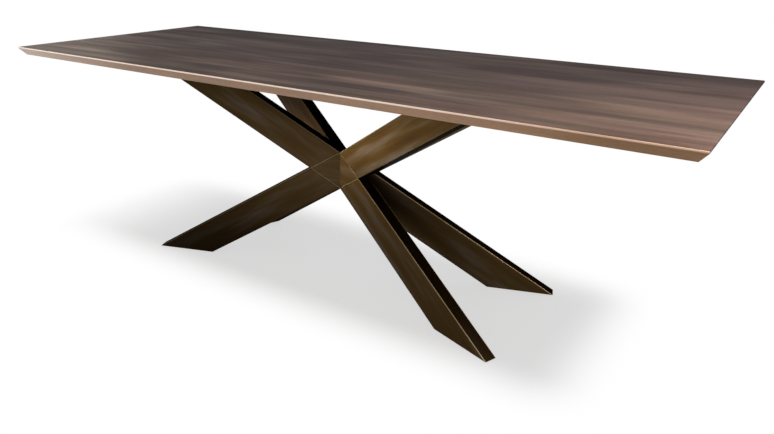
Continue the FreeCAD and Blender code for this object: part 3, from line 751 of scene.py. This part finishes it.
def plateScrewRows(values):
    # hexagon socket, domed head, shank and chamfered point
    crown, radius = -values["head"], values["radius"]
    socket, sides, lead = values["socketAcross"] / 2, values["socketSides"], values["lead"]
    rows = [(socket, crown + values["socketDepth"], sides), (socket, crown + lead, sides),
            (socket + lead, crown, sides)]
    for row in range(values["domeRows"] + 1):
        swing = math.pi / 2 * row / values["domeRows"]
        reach = values["headRadius"] - values["flatRadius"]
        rows.append((values["flatRadius"] + reach * math.sin(swing),
                     crown * math.cos(swing) ** values["domeBend"], 0))
    tip = underside["washer"] + underside["plate"] + values["grip"]
    return rows + [(radius, 0.0, 0), (radius, tip - values["point"], 0),
                   (radius * values["pointShare"], tip, 0)]


def plateWasherRows(values):
    inner, outer, edge, top = values["bore"], values["radius"], values["edge"], underside["washer"]
    return [(inner, edge, 0), (inner, top - edge, 0), (inner + edge, top, 0), (outer - edge, top, 0),
            (outer, top - edge, 0), (outer, edge, 0), (outer - edge, 0.0, 0), (inner + edge, 0.0, 0)]


def channelScrewRows(values):
    # square recess, rounded pan head, shank and point
    crown, head, radius = -values["head"], values["headRadius"], values["radius"]
    recess, sides = values["recessAcross"] / 2, values["recessSides"]
    rows = [(recess * values["recessTaper"], crown + values["recessDepth"], sides), (recess, crown, sides)]
    rows += [(head * reach, crown * height, 0) for reach, height in values["pan"]]
    return rows + [(radius, 0.0, 0), (radius, values["length"] - values["point"], 0),
                   (radius * values["pointShare"], values["length"], 0)]


def screwTree(seed):
    tree, given = newTree("screws in holes", ("Size", "Turn"))
    part = addNode(tree, "GeometryNodeObjectInfo", None, {"Object": given["Part"], "As Instance": True})
    turn = addNode(tree, "FunctionNodeRandomValue", {"data_type": "FLOAT"}, {
        "Max": given["Turn"], "Seed": seed})
    spin = addNode(tree, "ShaderNodeCombineXYZ", None, {"Z": turn})
    placed = addNode(tree, "GeometryNodeInstanceOnPoints", None, {
        "Points": given["Geometry"], "Instance": part.outputs["Geometry"],
        "Rotation": spin, "Scale": given["Size"]})
    endTree(tree, given, placed)
    return tree


def makeScrews(placing):
    tree = screwTree(placing["seed"])
    halfAlong, halfAcross = underside["holeAlong"] / 2, underside["holeAcross"] / 2
    seat = armTop - underside["washer"]
    holes = [armPoint(corner, plateReach() + end * halfAlong, side * halfAcross, seat)
             for corner in corners for end in (-1, 1) for side in (-1, 1)]
    grooves = [(x, y, channelScrew["seat"])
               for x in channelScrew["alongTable"] for y in channelScrew["acrossTable"]]
    capScrew = turnedMesh("plateScrew", plateScrewRows(plateScrew), plateScrew["steps"])
    washer = turnedMesh("plateWasher", plateWasherRows(plateWasher), plateWasher["steps"], True)
    woodScrew = turnedMesh("channelScrew", channelScrewRows(channelScrew), channelScrew["steps"])
    kinds = (("plateScrews", capScrew, holes, "plate_screws"),
             ("plateWashers", washer, holes, "plate_washers"),
             ("channelScrews", woodScrew, grooves, "channel_screws"))
    for name, mesh, places, nodeName in kinds:
        source = bpy.data.objects.new(mesh.name, mesh)
        bpy.context.scene.collection.objects.link(source)
        makePiece(name, pointsMesh(name + "Places", places), tree,
                  {"Size": placing["size"], "Turn": placing["turn"], "Part": source, "Material": zinc},
                  "table", "zinc_steel", nodeName)
        bpy.data.objects.remove(source)


makeScrews(screwPlacing)
print("screws and washers placed")


# welds: a rippled bead round the top of each upper arm, where it meets its mounting plate
weld = {
    "beadRadius": 0.0032, "ripplePitch": 0.0026, "cornerRadius": 0.004, "cornerSteps": 4,
    "lift": 0.0006, "flatten": 0.8, "dropSegments": 8, "dropRings": 5, "uneven": (0.88, 1.12), "seed": 4,
}


def weldTree(values):
    tree, given = newTree("rippled weld bead", ("Bead radius", "Ripple pitch", "Corner radius", "Flatten"))
    path = addNode(tree, "GeometryNodeMeshToCurve", None, {"Mesh": given["Geometry"]})
    path = addNode(tree, "GeometryNodeFilletCurve", {"mode": "POLY"}, {
        "Curve": path, "Count": values["cornerSteps"], "Radius": given["Corner radius"]})
    ripples = addNode(tree, "GeometryNodeCurveToPoints", {"mode": "LENGTH"}, {
        "Curve": path, "Length": given["Ripple pitch"]}).outputs
    drop = addNode(tree, "GeometryNodeMeshUVSphere", None, {
        "Segments": values["dropSegments"], "Rings": values["dropRings"], "Radius": given["Bead radius"]})
    drop = addNode(tree, "GeometryNodeSetShadeSmooth", None, {"Geometry": drop})
    smallest, largest = values["uneven"]
    uneven = addNode(tree, "FunctionNodeRandomValue", {"data_type": "FLOAT"}, {
        "Min": smallest, "Max": largest, "Seed": values["seed"]})
    size = addNode(tree, "ShaderNodeCombineXYZ", None, [1.0, 1.0, given["Flatten"]])
    size = addNode(tree, "ShaderNodeVectorMath", "SCALE", {0: size, "Scale": uneven})
    placed = addNode(tree, "GeometryNodeInstanceOnPoints", None, {
        "Points": ripples["Points"], "Instance": drop, "Rotation": ripples["Rotation"], "Scale": size})
    endTree(tree, given, placed)
    return tree


def makeWelds(values):
    cutHalf = bronze["armWidth"] / 2 / math.sin(math.radians(bronze["slope"]))
    faceHalf = bronze["armThickness"] / 2
    outline = ((-cutHalf, -faceHalf), (cutHalf, -faceHalf), (cutHalf, faceHalf), (-cutHalf, faceHalf))
    points, edges = [], []
    for corner in corners:
        first = len(points)
        for along, across in outline:
            points.append(armPoint(corner, plateReach() + along, across, armTop - values["lift"]))
        edges += [(first + step, first + (step + 1) % len(outline)) for step in range(len(outline))]
    makePiece("weldBeads", pointsMesh("weldPath", points, edges), weldTree(values), {
        "Bead radius": values["beadRadius"], "Ripple pitch": values["ripplePitch"],
        "Corner radius": values["cornerRadius"], "Flatten": values["flatten"],
        "Material": plateBronze}, "table", "bronze_steel")


makeWelds(weld)
print("welds laid")


# glides: a rolled M8 thread wound up a core, with a hexagon collar above the pad
stem = {
    "core": 0.0035, "threadDepth": 0.00045, "pitch": 0.00125, "length": 0.038, "foot": 0.005,
    "collarAcross": 0.013, "collarHeight": 0.005, "collarLift": 0.004, "collarSides": 6,
    "threadSteps": 20, "ridgeSides": 4, "coreSides": 24,
}


def stemTree(values):
    sizes = ("Core radius", "Thread depth", "Pitch", "Length",
             "Collar radius", "Collar height", "Collar lift")
    tree, given = newTree("threaded stem", sizes)
    turns = addNode(tree, "ShaderNodeMath", "DIVIDE", [given["Length"], given["Pitch"]])
    turns = addNode(tree, "ShaderNodeMath", "SUBTRACT", [turns, 1.0])
    climb = addNode(tree, "ShaderNodeMath", "MULTIPLY", [turns, given["Pitch"]])
    winding = addNode(tree, "GeometryNodeCurveSpiral", None, {
        "Resolution": values["threadSteps"], "Rotations": turns, "Height": climb,
        "Start Radius": given["Core radius"], "End Radius": given["Core radius"]})
    ridge = addNode(tree, "GeometryNodeCurvePrimitiveCircle", {"mode": "RADIUS"}, {
        "Resolution": values["ridgeSides"], "Radius": given["Thread depth"]})
    thread = addNode(tree, "GeometryNodeCurveToMesh", None, {
        "Curve": winding, "Profile Curve": ridge, "Fill Caps": True})
    core = addNode(tree, "GeometryNodeMeshCylinder", None, {
        "Vertices": values["coreSides"], "Radius": given["Core radius"], "Depth": given["Length"]})
    collar = addNode(tree, "GeometryNodeMeshCylinder", None, {
        "Vertices": values["collarSides"], "Radius": given["Collar radius"],
        "Depth": given["Collar height"]})
    # the thread starts half a pitch up; the core and the collar are made about their middles
    raised = []
    for part, size, base in ((thread, given["Pitch"], 0.0), (core, given["Length"], 0.0),
                             (collar, given["Collar height"], given["Collar lift"])):
        height = addNode(tree, "ShaderNodeMath", "MULTIPLY_ADD", [size, 0.5, base])
        lift = addNode(tree, "ShaderNodeCombineXYZ", None, {"Z": height})
        raised.append(addNode(tree, "GeometryNodeTransform", None, {"Geometry": part, "Translation": lift}))
    whole = addNode(tree, "GeometryNodeJoinGeometry", None, [raised])
    placed = addNode(tree, "GeometryNodeInstanceOnPoints", None, {
        "Points": given["Geometry"], "Instance": whole})
    endTree(tree, given, placed)
    return tree


def makeStems(values):
    tree = stemTree(values)
    inputs = {
        "Core radius": values["core"], "Thread depth": values["threadDepth"], "Pitch": values["pitch"],
        "Length": values["length"], "Collar height": values["collarHeight"],
        "Collar radius": values["collarAcross"] / 2 / math.cos(math.pi / values["collarSides"]),
        "Collar lift": values["collarLift"], "Material": zinc,
    }
    for corner in corners:
        low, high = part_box("glide_stem_" + corner)
        middle = (low + high) / 2
        place = pointsMesh("stemPlace_" + corner, [(middle.x, middle.y, values["foot"])])
        makePiece("threadedStem_" + corner, place, tree, inputs, "glide_" + corner, "zinc_steel",
                  "glide_stem_" + corner)


makeStems(stem)
print("threaded stems wound")


# the lamps light the table alone and the sun the paper alone, which keeps the top's even soft shadow
def shareLight(values):
    table, paper = bpy.data.collections.new("table pieces"), bpy.data.collections.new("studio paper")
    for piece in bpy.data.objects:
        if piece.type == "MESH":
            (paper if piece.name == "floor" else table).objects.link(piece)
    bpy.data.objects["floorSun"].light_linking.receiver_collection = paper
    for name in values["lamps"]:
        bpy.data.objects[name].light_linking.receiver_collection = table


shareLight(studio)
print("light shared out")
